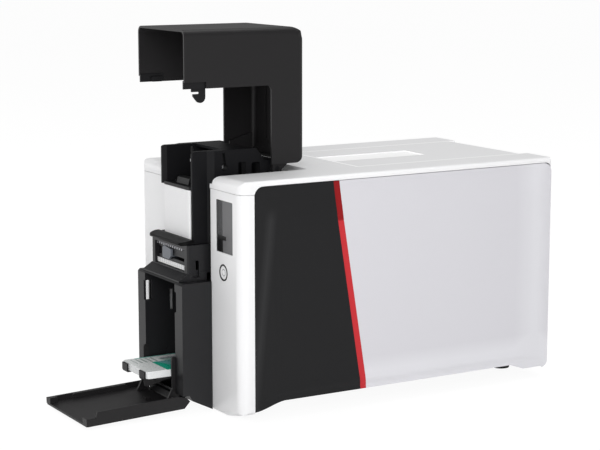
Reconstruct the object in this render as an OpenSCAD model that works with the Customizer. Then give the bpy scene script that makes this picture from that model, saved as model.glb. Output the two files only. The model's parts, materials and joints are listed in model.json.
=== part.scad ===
// Desktop card printer with an open card feeder cover and an open output door.
// X runs to the right as seen from the front, Y to the rear, Z up.
// Sizes are worked out with Y = 0 at the front of the two white columns and Z = 0 on
// the table; placed() then moves the whole to the middle of its footprint.

/* [Body] */
// Width over the two side panels
body_w = 205; // [195:1:225]
// Depth from the columns to the back
body_d = 351; // [348:1:370]
// Height of the top shell above the table
body_h = 221.5; // [220:0.5:223]
// Wall of the white mouldings
wall = 2.4; // [2:0.1:3]
// Radius of the upright front corners
corner_r = 10; // [6:1:14]
// Radius of the upper front edge
brow_r = 8; // [4:1:9]
// Height of the joint line between columns and top shell
seam_z = 210; // [206:1:211]
// Gap between the columns and the table
chin_gap = 1.2; // [0.8:0.1:3]
// Width of the slot between the columns
slot_w = 87; // [86.8:0.1:87.6]
// How far the slot runs into the top shell
slot_d = 99.2; // [99.2:0.2:104]
// Joint gap between neighbouring mouldings
joint_gap = 0.4; // [0.2:0.05:0.6]

/* [Side panels] */
// Distance from the column front to the panel
panel_y = 14; // [12:1:20]
// Height of the lower panel edge
panel_z = 16.5; // [14:0.5:20]
// White strip left above the panel
panel_top_gap = 5.3; // [4:0.1:8]
// Radius of the panel corners
panel_r = 9; // [5:1:12]
// Depth of the raised middle of the panel
relief = 1.6; // [0.8:0.1:2]
// Width of the sloping rim round the raised middle
rim = 36; // [24:1:44]
// Dark gap above the panel
panel_gap = 0.8; // [0.4:0.1:1.2]
// How far the lower corners of the panel reach down
flare = 7; // [4:0.5:9]
// Width of the coloured stripe
stripe_w = 6.2; // [4:0.2:9]

/* [Window and power button] */
// Width of the window
window_w = 31.5; // [24:0.5:33]
// Height of the window
window_h = 48; // [36:1:50]
// Radius of the power button
button_r = 6.2; // [5:0.1:8]
// Height of the power button
button_z = 135.3; // [110:0.1:140]
// Travel of both push buttons
button_travel = 1.2; // [0.8:0.1:1.6]

/* [Cards] */
// Width of a card
card_w = 54; // [53.9:0.1:54.1]
// Length of a card
card_l = 85.6; // [85.4:0.1:85.8]
// Height of the stack of blank cards
blank_h = 46.5; // [20:0.5:60]
// Height of the stack of printed cards
printed_h = 6.8; // [3:0.1:12]

/* [Feeder] */
// Height of the feed deck on which the blank cards lie
deck_z = 160; // [158:0.5:162]
// Distance that the cards stand out of the column front
stack_out = 12.7; // [10:0.1:14]
// Play between cards and their guides on each side
card_play = 0.6; // [0.4:0.1:1]
// Height of the feeder walls above the deck
feeder_h = 82.5; // [70:0.5:82.5]

/* [Feeder cover] */
// Outer width of the cover
cover_w = 94.8; // [94:0.1:95]
// Depth of the cover behind its closed front
front_deep = 53.1; // [50:0.1:54]
// Depth of the cover below its closed top
top_deep = 35.5; // [33:0.1:35.6]
// Height of the closed front leg
front_leg = 125.4; // [123:0.1:126]
// Length of the closed top leg
top_leg = 126.7; // [124:0.1:128]
// Skin of the cover
cover_wall = 2; // [1.8:0.1:2.2]
// Radius of the long edges of the cover
cover_edge_r = 6; // [3:0.5:8]

/* [Output hopper and door] */
// Outer width of the hopper frame
hopper_w = 93.2; // [92:0.1:95]
// Clear width between the posts
hopper_in = 62.6; // [62:0.1:64]
// How far the hopper frame stands out of the columns
hopper_out = 31.1; // [30:0.1:32]
// Height of the top of the hopper frame
hopper_top = 123.3; // [121:0.1:123.4]
// Length of the door from its pivot to its tip
door_len = 99.6; // [95:0.1:99.8]
// Depth of the side lips of the door
door_deep = 12.4; // [9.6:0.1:12.4]
// Skin of the door and the tray
door_wall = 1.9; // [1.6:0.1:2.2]
// How far the open door drops below level
door_tilt = 2; // [0:0.1:2.6]

/* [Printer drive] */
// Radius of the rubber on the drive rollers
roller_r = 8; // [7.6:0.1:8]
// Radius of the roller shafts
shaft_r = 3; // [2.5:0.1:3.2]
// Gear module
gear_m = 1; // [1:0.1:1]
// Teeth of the gears on the rollers
roller_teeth = 20; // [20:1:20]
// Teeth of the idler gears
idler_teeth = 30; // [30:1:30]
// Width of the gears
gear_w = 5; // [4:0.1:5]
// Radial clearance of turning shafts
run_gap = 0.05; // [0.03:0.01:0.08]

/* [Hidden] */
$fn = 48;
eps = 0.01;

// Body
side_x = body_w / 2;
rim_x = side_x - relief;
panel_t = 2.6;
panel_in_x = rim_x - panel_t;
shell_x = side_x - 0.4;
slot_x = slot_w / 2;
ledge_x = slot_x + 4.3;
ledge_z = seam_z + 4;
panel_top = body_h - panel_top_gap;
pan_z = 17;
pan_t = 3;
pan_x = panel_in_x;
rear_in = body_d - wall;
foot_r = 9;
foot_h = 4.4;
foot_x = 48;
foot_y = [50, body_d - 18];
chin_r = 8;
top_edge_r = 5;
notch_r = 5;
stripe_at = [[panel_top, 97.6], [179.5, 101.7], [panel_z, 128.3]];

// Hood
hood_y = 149;
hood_x = 61;
hood_pivot = [body_d - 12, body_h - 7.5];
hood_pin_r = 2.4;
hood_back = body_d - 4;

// Window and button
window_x = (slot_x + shell_x) / 2 - 2.05;
window_z = seam_z - 32.5;
button_x = window_x - 1.85;
ring_r = button_r + 1.4;

// Feeder
stack_y = -stack_out;
stack_back = stack_y + card_l;
guide_x = card_w / 2 + card_play;
feeder_x = guide_x + 4.9;
feeder_top = deck_z + feeder_h;
gate_h = 1.3;

// Feeder cover: its outline in the open pose, from the hinge outwards
cover_x = cover_w / 2;
cover_in = cover_x - cover_wall;
cover_sum = 294.4;
cover_diff = 151.4;
cover_pivot = [(cover_sum - cover_diff) / 2, (cover_sum + cover_diff) / 2];
cover_rear = 98.7;
cover_front = cover_rear - front_leg;
cover_top = 354.4;
cover_low = cover_top - front_deep;
leg_front = cover_rear - top_deep;
leg_low = cover_top - top_leg;
cover_corner_r = 9;
cover_tail_r = 10;
catch_cut = [22, 6];
catch_x = [cover_in - 1.8, cover_in - 0.05];
hook_x = [slot_x - 2.1, slot_x - 0.35];
arm_x = [slot_x - 3.9, slot_x - 0.3];
pin_r = 2.5;
ear_in = feeder_x + 3.6;

// Hopper, door and tray
hopper_x = hopper_w / 2;
post_x = hopper_in / 2;
hopper_back = 57;
slot_face = -0.5;
door_pivot = [-28.8, 23.1];
door_x = 46.6;
door_under = 16.6;
door_tail = 4.5;
door_close = 90 + door_tilt;
door_arm_x = [post_x - 2.4, post_x - 0.3];
door_pin_r = 1.6;
link_pin = [-2, 26.5];
tray_x = 28;
tray_y = -59.8;
tray_z = 31.8;
tray_travel = 24;

// Middle unit
mid_x = 37;
mid_y = -20.3;
mid_z = [130, 157];
mid_back = 28;
mid_face = mid_y + 3.2;
lever_x = [-16, 2];
slot_end = 30;

// Drive
roller_z = deck_z - roller_r;
pitch_r = gear_m * roller_teeth / 2;
idler_r = gear_m * idler_teeth / 2;
gear_step = pitch_r + idler_r;
pick_y = 60;
feed_y = pick_y + 2 * gear_step;
transport_y = feed_y + 2 * gear_step;
platen_y = transport_y + 2 * gear_step;
idler_y = [pick_y + gear_step, feed_y + gear_step, transport_y + gear_step];
pinion_teeth = 15;
pinion_r = gear_m * pinion_teeth / 2;
pinion_at = [idler_y[2], roller_z - idler_r - pinion_r];
frame_x = [40, 41.6];
gear_x = frame_x[1] + 1;
shaft_end = gear_x + gear_w + 0.6;
rubber_x = 28;
card_t = 0.8;
upper_r = 6.5;
upper_z = deck_z + card_t + upper_r + 0.1;
flip_len = 80;
flip_at = [rear_in - 8.6 - flip_len / 2, deck_z + card_t / 2];
guide_back = flip_at[0] - flip_len / 2 - 6;
frame_back = rear_in - 14.6;
board_back = rear_in - 5.6;
spool_y = [platen_y - 33, platen_y + 36];
spool_z = 190;
spool_core = 7;
spool_pin = 2.6;
ribbon_r = [10, 15];
frame_foot = pan_z + pan_t;
board_z = 34;
inlet_x = -29;
fan_at = [panel_in_x - 28.3, 120];
fan_r = 17;
fan_y = [rear_in - 11, rear_in - 0.3];
door_tip_y = door_pivot[0] - door_len * cos(door_tilt) - door_under * sin(door_tilt);
origin_y = (body_d + door_tip_y) / 2;

// Points of an arc
function arc(c, r, a0, a1, n = 6) =
    [for (i = [0:n]) c + r * [cos(a0 + (a1 - a0) * i / n), sin(a0 + (a1 - a0) * i / n)]];
// Rectangle from corner a to corner b; r holds the radii of the corners
// low-left, low-right, high-right and high-left
function round_box(a, b, r) = concat(
    arc([a[0] + r[0], a[1] + r[0]], r[0], 180, 270),
    arc([b[0] - r[1], a[1] + r[1]], r[1], 270, 360),
    arc([b[0] - r[2], b[1] - r[2]], r[2], 0, 90),
    arc([a[0] + r[3], b[1] - r[3]], r[3], 90, 180));
// Place of a point of the open cover when it is closed
function closed(p) = [cover_sum - p[1], cover_diff + p[0]];

module placed() translate([0, -origin_y, 0]) children();
// The flat shapes below are drawn as Y-Z, X-Z and X-Y views
module along_x(x0, x1) translate([x0, 0, 0]) rotate([90, 0, 90])
    linear_extrude(x1 - x0) children();
module along_y(y0, y1) translate([0, y1, 0]) rotate([90, 0, 0])
    linear_extrude(y1 - y0) children();
module along_z(z0, z1) translate([0, 0, z0]) linear_extrude(z1 - z0) children();
module block(a, b) translate(a) cube(b - a);
module rod_x(r, x0, x1, at) translate([x0, at[0], at[1]]) rotate([0, 90, 0])
    cylinder(r = r, h = x1 - x0);
module rod_y(r, y0, y1, x, z) translate([x, y1, z]) rotate([90, 0, 0])
    cylinder(r = r, h = y1 - y0);
module rod_z(r, z0, z1, x, y) translate([x, y, z0]) cylinder(r = r, h = z1 - z0);
module both() { children(); mirror([1, 0, 0]) children(); }

// ---- Casing ----

module base_pan() {
    color([0.25, 0.25, 0.26]) difference() {
        union() {
            block([-pan_x, panel_y + 2, pan_z], [pan_x, rear_in - joint_gap, pan_z + pan_t]);
            both() {
                block([pan_x - wall, panel_y + 2, pan_z], [pan_x, rear_in - joint_gap, 60]);
                for (y = [70, 170, 270])
                    along_y(y, y + 2.4) polygon([[pan_x - wall - eps, pan_z + pan_t - eps],
                        [pan_x - 18, pan_z + pan_t - eps], [pan_x - wall - eps, 52]]);
                for (y = foot_y) rod_z(foot_r + 2, foot_h + joint_gap, pan_z + eps, foot_x, y);
                for (y = [200, board_back - 23]) rod_z(4, pan_z, board_z, 24, y);
            }
        }
        both() {
            for (y = foot_y) rod_z(foot_r - 3, foot_h, pan_z - 2, foot_x, y);
            for (i = [0:6]) block([20, 90 + i * 12, pan_z - 1], [56, 95 + i * 12, pan_z + pan_t + 1]);
        }
    }
}

module feet() {
    color([0.12, 0.12, 0.12]) both() for (y = foot_y) difference() {
        union() {
            rod_z(foot_r, 0, foot_h, foot_x, y);
            rod_z(foot_r - 3.2, foot_h - eps, pan_z - 3, foot_x, y);
        }
        rod_z(foot_r - 4, -1, 0.8, foot_x, y);
    }
}

// Outline of one column from above, or of its hollow when inset
module column_plan(inset = 0) {
    q = inset > 0 ? 0.3 : 1.5;
    polygon(concat(
        [[slot_x + inset, panel_y + (inset > 0 ? 1 : 0)]],
        arc([slot_x + inset + q, inset + q], q, 180, 270, 3),
        arc([shell_x - corner_r, corner_r], corner_r - inset, 270, 360, 8),
        [[shell_x - inset, panel_y + (inset > 0 ? 1 : 0)]]));
}

// Lower edge of a column, rounded at the front and at the side
module chin_round() {
    along_x(slot_x - 1, side_x + 1) polygon(concat(
        arc([chin_r, chin_gap + chin_r], chin_r, 180, 270),
        [[panel_y + 2, chin_gap], [panel_y + 2, seam_z + 1], [0, seam_z + 1]]));
}

module column_side_round() {
    along_y(-1, panel_y + 2) polygon(concat(
        arc([shell_x - chin_r, chin_gap + chin_r], chin_r, 270, 360),
        [[shell_x, seam_z + 1], [slot_x - 1, seam_z + 1], [slot_x - 1, chin_gap]]));
}

module column() {
    difference() {
        intersection() {
            along_z(chin_gap, seam_z - joint_gap) column_plan();
            chin_round();
            column_side_round();
        }
        along_z(chin_gap + chin_r, seam_z - joint_gap - wall) column_plan(wall);
    }
}

module front_cover() {
    color([0.96, 0.96, 0.96]) difference() {
        both() column();
        along_y(-1, wall + 1) polygon(round_box([window_x - window_w / 2, window_z - window_h / 2],
            [window_x + window_w / 2, window_z + window_h / 2], [1, 1, 1, 1]));
        rod_y(ring_r + 0.2, -1, wall + 1, button_x, button_z);
    }
}

// Plan of the whole top shell, front corners round like the columns
module top_plan(inset = 0) {
    polygon(concat(
        arc([-shell_x + corner_r, corner_r], corner_r - inset, 180, 270, 8),
        arc([shell_x - corner_r, corner_r], corner_r - inset, 270, 360, 8),
        arc([shell_x - 4, body_d - 4], 4 - inset / 2, 0, 90, 4),
        arc([-shell_x + 4, body_d - 4], 4 - inset / 2, 90, 180, 4)));
}

// Cross-section of the top shell with the slot for the feeder open or closed
module brow_section() {
    polygon(round_box([-shell_x, seam_z], [shell_x, body_h], [0, 0, top_edge_r, top_edge_r]));
}

module slot_cut() {
    along_y(-1, slot_d) polygon(concat(
        [[-slot_x, seam_z - 20], [slot_x, seam_z - 20], [slot_x, ledge_z], [ledge_x, ledge_z]],
        arc([ledge_x + notch_r, body_h - notch_r], notch_r, 180, 90, 5),
        [[ledge_x + notch_r, body_h + 1], [-ledge_x - notch_r, body_h + 1]],
        arc([-ledge_x - notch_r, body_h - notch_r], notch_r, 90, 0, 5),
        [[-ledge_x, ledge_z], [-slot_x, ledge_z]]));
}

module top_shell() {
    // pins on which the hood turns
    color([0.93, 0.93, 0.93]) both() rod_x(hood_pin_r, hood_x - 5, hood_x + 2, hood_pivot);
    color([0.93, 0.93, 0.93]) difference() {
        union() {
            intersection() {
                along_z(seam_z, body_h) top_plan();
                along_y(-1, body_d + 1) brow_section();
                along_x(-side_x, side_x) polygon(concat(
                    [[body_d, seam_z], [body_d, body_h]],
                    arc([brow_r, body_h - brow_r], brow_r, 90, 180), [[0, seam_z]]));
            }
            both() block([pan_x - wall, panel_y + 4, 190], [pan_x, rear_in - 4, body_h - wall]);
        }
        // hollow under the top, kept off the slot walls and the hood frame
        difference() {
            along_z(seam_z - 1, body_h - wall) offset_plan();
            block([-ledge_x - notch_r, -1, seam_z - 2], [ledge_x + notch_r, slot_d + wall, body_h]);
            difference() {
                block([-hood_x - 3, hood_y - 3, seam_z - 2], [hood_x + 3, body_d, body_h]);
                block([-hood_x - 1, hood_y - 1, seam_z - 3], [hood_x + 1, body_d + 1, body_h + 1]);
            }
            // well of the hood button and bosses of the hood pins
            block([-20, 112, body_h - 8.4], [20, 146.1, body_h]);
        }
        block([-21, 111, seam_z - 1], [21, 145.9, body_h - 8.4 + eps]);
        // strip beside the panels follows their upper edge and its round corners
        both() along_x(pan_x, side_x + 1) polygon(round_box([panel_y, seam_z - 30],
            [body_d + joint_gap, panel_top + panel_gap], [1, 1, panel_r, panel_r]));
        slot_cut();
        // opening for the hood and the wells under its edge
        block([-hood_x - joint_gap, hood_y - joint_gap, seam_z - 2],
            [hood_x + joint_gap, body_d + 1, body_h + 1]);
        // seat of the hood button
        along_z(body_h - 6, body_h + 1) polygon(round_box([-17.4, 114.6], [17.4, 145.4],
            [3, 3, 3, 3]));
        both() rod_z(3.15, seam_z - 2, body_h, 9, 130);
    }
}

module offset_plan() {
    difference() {
        top_plan(wall);
        both() translate([pan_x - wall, panel_y + 4]) square([wall + 2, rear_in - 8 - panel_y]);
    }
}

module rear_cover() {
    color([0.9, 0.9, 0.9]) difference() {
        union() {
            along_y(rear_in, body_d) polygon(round_box([-panel_in_x, pan_z],
                [panel_in_x, seam_z - joint_gap], [4, 4, 0.5, 0.5]));
            both() block([panel_in_x - 9, rear_in - 12, 62], [panel_in_x - 0.5, rear_in + eps, 66]);
        }
        // hood bay
        block([-hood_x - joint_gap, rear_in - 1, body_h - 30], [hood_x + joint_gap, body_d + 1, body_h]);
        // sockets: power, data and network
        along_y(rear_in - 1, body_d + 1) {
            translate([inlet_x, board_z + 8]) circle(r = 5.2);
            polygon(round_box([-19, board_z + 1.6], [-5, board_z + 14.4], [0.5, 0.5, 2, 2]));
            polygon(round_box([4.6, board_z + 1.2], [21.4, board_z + 15.8], [0.5, 0.5, 0.5, 0.5]));
        }
        // cooling slots
        along_y(rear_in - 1, body_d + 1) for (i = [-3:3])
            polygon(round_box([fan_at[0] + i * 4.6 - 1.3, fan_at[1] - sqrt(fan_r * fan_r - i * i * 21)],
                [fan_at[0] + i * 4.6 + 1.3, fan_at[1] + sqrt(fan_r * fan_r - i * i * 21)],
                [1.2, 1.2, 1.2, 1.2]));
        for (i = [0:9]) along_y(rear_in - 1, body_d + 1)
            polygon(round_box([-86 + i * 6, 100], [-83 + i * 6, 140], [1.4, 1.4, 1.4, 1.4]));
        both() rod_y(1.7, rear_in - 1, body_d + 1, 90, 196);
    }
}

// ---- Side panels ----

// Y of the stripe at a height
function stripe_y(z) = z > stripe_at[1][0]
    ? stripe_at[1][1] + (stripe_at[0][1] - stripe_at[1][1]) * (z - stripe_at[1][0])
        / (stripe_at[0][0] - stripe_at[1][0])
    : stripe_at[1][1] + (stripe_at[2][1] - stripe_at[1][1]) * (z - stripe_at[1][0])
        / (stripe_at[2][0] - stripe_at[1][0]);

// Outline of the panel seen from the side, with its lower corners reaching down
module panel_outline() {
    difference() {
        polygon(round_box([panel_y + joint_gap, panel_z - flare], [body_d, panel_top],
            [4, 7, panel_r, panel_r]));
        polygon([[panel_y + 20, panel_z - flare - 1], [panel_y + 30, panel_z],
            [body_d - 46, panel_z], [body_d - 30, panel_z - flare + 1.4],
            [body_d - 8, panel_z - flare + 1.4], [body_d - 4, panel_z - flare - 1]]);
    }
}

module panel_full() {
    along_x(panel_in_x, rim_x) panel_outline();
    for (i = [0:3]) hull() {
        swell_layer(i / 4);
        swell_layer((i + 1) / 4);
    }
}

// Layer of the swelling middle of the panel, from its foot (t = 0) to its top (t = 1)
module swell_layer(t) {
    x = rim_x + relief * t * t * (3 - 2 * t);
    along_x(x - 0.3, x) polygon(round_box([panel_y + 3 + (rim - 12) * t, panel_z + 2 + 8 * t],
        [body_d - 3 - rim * t, panel_top - 2 - rim * t], [7, 7, 7, 7]));
}

// The part of a side view that lies between two lines parallel to the stripe
module stripe_band(from, to) {
    polygon(concat(
        [for (z = [panel_top + 1, stripe_at[1][0], 0]) [stripe_y(z) + from, z]],
        [for (z = [0, stripe_at[1][0], panel_top + 1]) [stripe_y(z) + to, z]]));
}

module panel_part(from, to) intersection() {
    panel_full();
    along_x(panel_in_x - 1, side_x + 1) stripe_band(from, to);
}

module right_panel_dark() color([0.17, 0.17, 0.17]) panel_part(-200, -0.1);
module right_stripe() color([0.75, 0.15, 0.18]) panel_part(0, stripe_w);
module right_panel_light() color([0.83, 0.83, 0.85]) panel_part(stripe_w + 0.1, 400);
module left_panel_dark() color([0.17, 0.17, 0.17]) mirror([1, 0, 0]) panel_part(-200, -0.1);
module left_stripe() color([0.75, 0.15, 0.18]) mirror([1, 0, 0]) panel_part(0, stripe_w);
module left_panel_light() color([0.83, 0.83, 0.85]) mirror([1, 0, 0])
    panel_part(stripe_w + 0.1, 400);

// ---- Window and buttons ----

module window_lens() {
    color([0.4, 0.4, 0.4, 0.6]) {
        along_y(0.5, wall + 0.1) polygon(round_box(
            [window_x - window_w / 2 + 0.15, window_z - window_h / 2 + 0.15],
            [window_x + window_w / 2 - 0.15, window_z + window_h / 2 - 0.15], [1, 1, 1, 1]));
        along_y(wall + 0.1 - eps, wall + 1.2) polygon(round_box(
            [window_x - window_w / 2 - 2, window_z - window_h / 2 - 2],
            [window_x + window_w / 2 + 2, window_z + window_h / 2 + 2], [2, 2, 2, 2]));
    }
}

// Bent tab of the lock slot, seen through the lower corner of the window
module window_tab() {
    left = slot_x + 5.9;
    low = window_z - window_h / 2;
    color([0.08, 0.08, 0.08]) along_y(wall + 1.3, wall + 2.1) polygon([[left + 0.4, low + 0.4],
        [left + 10, low + 0.4], [left + 10, low + 11], [left + 16, low + 12],
        [left + 16, low + 15], [left + 8, low + 15], [left + 6.5, low + 11], [left + 0.4, low + 9]]);
}

module power_button() {
    color([0.95, 0.95, 0.95]) difference() {
        union() {
            rod_y(button_r, 0.2, 6, button_x, button_z);
            rod_y(button_r + 1.2, wall + button_travel + 1.2, wall + button_travel + 3,
                button_x, button_z);
            rod_y(2, 5.9, 10, button_x, button_z);
        }
        rod_y(2.6, -1, 0.5, button_x, button_z);
    }
}

module button_ring() {
    color([0.35, 0.35, 0.36]) difference() {
        rod_y(ring_r, -0.3, wall, button_x, button_z);
        rod_y(button_r + 0.15, -1, wall + 1, button_x, button_z);
    }
}

// Push plate that frees the hood, with its guide posts
module hood_button() {
    color([0.97, 0.97, 0.97]) {
        along_z(body_h - 2.2, body_h) polygon(round_box([-17, 115], [17, 145], [3, 3, 3, 3]));
        both() rod_z(3, body_h - 10, body_h - 2, 9, 130);
    }
}

// ---- Feeder ----

// Black lining of the slot that carries the feeder, the middle unit and the hopper
module centre_frame() {
    lining = slot_x - 0.3;
    color([0.13, 0.13, 0.13]) difference() {
        union() {
            both() {
                block([lining - 1.6, 14.2, frame_foot], [lining, 38, seam_z - 4]);
                block([mid_x + 0.3, 14.2, frame_foot], [lining - 0.1, 16.4, mid_z[1]]);
                block([feeder_x + 4.4, 14.2, mid_z[1] - eps], [lining - 0.1, 16.4, seam_z - 4]);
                for (z = [40, 80, 120, 190]) block([mid_x + 1, 16, z], [lining - 0.1, 30, z + 1.6]);
                // foot of the lining on the base pan
                block([34, 12.4, frame_foot], [lining, 38, frame_foot + 1.8]);
                block([34, 12.4, 4], [lining, 14.4, frame_foot + 1]);
            }
            block([-lining, 12.4, 4], [lining, 14, frame_foot - 0.1]);
        }
        both() for (z = [60, 100]) rod_y(1.6, 10, 20, 40, z);
    }
}

// Side view of a feeder wall, its top stepping down below the closed cover
module wall_side() {
    polygon(concat(
        [[stack_y, deck_z - 3]],
        [[76.5, deck_z - 3], [76.5, feeder_top - 12], [62, feeder_top - 12], [53, feeder_top]],
        arc([stack_y + 4, feeder_top - 4], 4, 90, 180)));
}

// Keyhole through both walls, narrow above and round below
module keyhole() {
    along_x(-60, 60) {
        translate([19.6, feeder_top - 16]) circle(r = 3.1, $fn = 32);
        polygon([[17.6, feeder_top - 15], [21.2, feeder_top - 15], [19.8, feeder_top - 2.5],
            [17.2, feeder_top - 2.5]]);
    }
}

module feeder_frame() {
    color([0.15, 0.15, 0.15]) difference() {
        union() {
            both() {
                // guide wall with a lead-in at its front, stepping out to a thicker root
                intersection() {
                    along_x(guide_x, feeder_x + 4) wall_side();
                    along_z(deck_z - 4, feeder_top + 1) polygon(concat(
                        [[guide_x, 80], [guide_x, stack_y + 4.7], [guide_x + 2, stack_y + 0.5]],
                        arc([feeder_x - 0.9, stack_y + 1.4], 0.9, 270, 360, 4),
                        [[feeder_x, 3], [feeder_x + 3.6, 9], [feeder_x + 3.6, 80]]));
                }
                // ear of the cover hinge and its root on the wall
                along_x(ear_in - eps, arm_x[0] - 0.3) difference() {
                    union() {
                        translate(cover_pivot) circle(r = 6);
                        polygon([[58, cover_pivot[1] - 26], [76, cover_pivot[1] - 26],
                            [cover_pivot[0] + 6, cover_pivot[1]], [cover_pivot[0] - 6, cover_pivot[1]]]);
                    }
                    translate(cover_pivot) circle(r = pin_r + run_gap);
                }
            }
            // deck, back stop and bridge over the cards
            block([-feeder_x, stack_y + 1, deck_z - 3], [feeder_x, 76.5, deck_z - 0.3]);
            block([-guide_x - 1, 74, deck_z + gate_h], [guide_x + 1, 76.5, feeder_top - 12]);
            block([-guide_x - 1, 22, feeder_top - 2.4], [guide_x + 1, 48, feeder_top]);
            feed_lip();
        }
        keyhole();
        // thumb cut in the left guide
        block([-feeder_x - 5, stack_y - 1, deck_z + 1], [-guide_x + 1, 4, deck_z + blank_h]);
        // opening for the pick roller
        block([-20, pick_y - roller_r - 1.2, deck_z - 4], [20, pick_y + roller_r + 1.2, deck_z]);
        // openings in the upper walls behind the keyholes
        both() along_x(guide_x - 2, feeder_x + 3.6 + eps) {
            polygon(round_box([34, feeder_top - 34], [42, feeder_top - 12], [3, 3, 1, 1]));
            polygon(round_box([48, feeder_top - 34], [57, feeder_top - 13], [2, 2, 2, 2]));
        }
    }
}

// Curved lip below the card stack
module feed_lip() {
    intersection() {
        along_x(-feeder_x - 4, feeder_x + 4) polygon([[stack_y + 1.6, deck_z - 3],
            [stack_y + 1.6, deck_z - 0.3], [stack_y - 0.3, deck_z - 0.3],
            [stack_y - 0.3, deck_z + 1.2], [stack_y - 4, deck_z + 1.2], [stack_y - 12.8, deck_z - 0.6],
            [stack_y - 13.6, deck_z - 2.2], [stack_y - 12, deck_z - 3.6], [stack_y - 6, deck_z - 3]]);
        along_z(deck_z - 5, deck_z + 3) polygon(concat(
            arc([-feeder_x + 6, stack_y - 5], 9, 180, 262, 5),
            arc([feeder_x - 6, stack_y - 5], 9, 278, 360, 5),
            [[feeder_x + 3, stack_y + 2], [-feeder_x - 3, stack_y + 2]]));
    }
}

module card_plan() polygon(round_box([-card_w / 2, 0], [card_w / 2, card_l],
    [3.2, 3.2, 3.2, 3.2]));

module blank_cards() {
    color([0.98, 0.98, 0.98]) translate([0, stack_y, 0])
        along_z(deck_z, deck_z + blank_h - 0.4) card_plan();
}

// Plate that presses on the stack, lifted by its grip
module card_weight() {
    low = deck_z + blank_h - 0.35;
    color([0.1, 0.1, 0.1]) {
        along_z(low, low + 2.9) polygon(round_box([-guide_x + 0.5, stack_y + 0.5],
            [guide_x - 0.5, 70], [2, 2, 2, 2]));
        along_x(-12, 12) polygon([[-6, low + 2.8], [6, low + 2.8], [4, low + 8.6], [2, low + 9],
            [-3.4, low + 9], [-4.6, low + 8.4]]);
        for (x = [-18, 18]) block([x - 0.7, -4, low + 2.8], [x + 0.7, 62, low + 4.6]);
    }
}

// Side view of the cover in its open pose
module cover_side(inset = 0) {
    polygon(concat(
        [[cover_front - (inset > 0 ? 1 : 0), cover_low - (inset > 0 ? 1 : 0)]],
        arc([leg_front - 5, cover_low - 5], 5, 90, 0),
        [[leg_front - (inset > 0 ? 1 : 0), leg_low - (inset > 0 ? 1 : 0)]],
        inset > 0 ? [[cover_rear - cover_tail_r - 1, leg_low - 1],
            [cover_rear - cover_tail_r - 1, leg_low + inset]] : [],
        arc([cover_rear - cover_tail_r, leg_low + cover_tail_r], cover_tail_r - inset, 270, 360),
        arc([cover_rear - cover_corner_r, cover_top - cover_corner_r], cover_corner_r - inset, 0, 90),
        [[cover_front - (inset > 0 ? 1 : 0), cover_top - inset]]));
}

module feeder_cover() {
    color([0.17, 0.17, 0.17]) {
        difference() {
            // skin with rounded long edges at the top and at the back
            intersection() {
                along_x(-cover_x, cover_x) cover_side();
                union() {
                    along_y(-60, cover_rear + 1) polygon(round_box([-cover_x, leg_low - 10],
                        [cover_x, cover_top], [0, 0, cover_edge_r, cover_edge_r]));
                }
                along_z(0, cover_top + 1) polygon(round_box([-cover_x, -60],
                    [cover_x, cover_rear], [0, 0, cover_edge_r, cover_edge_r]));
            }
            intersection() {
                along_x(-cover_in, cover_in) cover_side(cover_wall);
                along_y(-61, cover_rear) polygon(round_box([-cover_in, leg_low - 12],
                    [cover_in, cover_top - cover_wall], [0, 0, cover_edge_r - 2, cover_edge_r - 2]));
                along_z(0, cover_top + 2) polygon(round_box([-cover_in, -61],
                    [cover_in, cover_rear - cover_wall], [0, 0, cover_edge_r - 2, cover_edge_r - 2]));
            }
            // step in the side walls that the catch strips fill
            both() block([cover_in - 1, cover_front - 1, cover_low - 1],
                [cover_x + 1, cover_front + catch_cut[0], cover_low + catch_cut[1]]);
        }
        // hinge arms with their bosses, and stiffening ribs behind the skin
        both() {
            along_x(arm_x[0], arm_x[1] + eps) difference() {
                union() {
                    translate(cover_pivot) circle(r = 5.2);
                    polygon([[cover_pivot[0] - 5, cover_pivot[1] + 1], [cover_pivot[0] + 5,
                        cover_pivot[1] - 1], [cover_rear - cover_wall - 7, leg_low + 6],
                        [cover_rear - cover_wall - 7, leg_low + 20], [leg_front + 3, leg_low + 13]]);
                }
                translate(cover_pivot) circle(r = pin_r);
            }
            // pad that joins the arm to the side wall
            along_x(arm_x[1] - eps, cover_in + eps) polygon([[leg_front + 4, leg_low + 3],
                [cover_rear - cover_wall - 8, leg_low + 7], [cover_rear - cover_wall - 8,
                leg_low + 19], [leg_front + 4, leg_low + 12.6]]);
        }
        for (x = [-22, 0, 22]) block([x - 0.7, cover_rear - cover_wall - 1.2, leg_low + 16],
            [x + 0.7, cover_rear - cover_wall + eps, cover_top - 14]);
    }
}

// Strips inside the mouth of the cover, the left with a tab, the right with a snap hook
module cover_catch() {
    low = cover_low;
    color([0.08, 0.08, 0.08]) {
        both() {
            along_x(catch_x[0], catch_x[1]) polygon([[cover_front, low], [cover_front, low + 7.5],
                [cover_front + catch_cut[0] + 2, low + 7.5], [cover_front + catch_cut[0] + 2, low]]);
            along_x(hook_x[0] + 0.1, catch_x[0] + 0.1) polygon([[-16.2, low + 0.5], [-4.2, low + 0.5],
                [-4.2, low + 5], [-16.2, low + 5]]);
        }
        mirror([1, 0, 0]) along_x(hook_x[0], hook_x[1]) polygon([[-16, low + 3], [-15, low - 4.6],
            [-6, low - 4.6], [-4.4, low + 3]]);
        along_x(hook_x[0], hook_x[1]) difference() {
            polygon(concat([[-17.4, low + 3], [-17.4, low - 3.8], [-16, low - 5.2],
                [-16, low - 7]], arc([-8.6, low - 8], 5.2, 210, 360, 8), [[-3.4, low + 3]]));
            polygon([[-20, low - 5], [-10.6, low - 5], [-10.6, low - 3], [-20, low - 3]]);
            translate([-10.6, low - 4]) circle(r = 1, $fn = 24);
        }
    }
}

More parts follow.
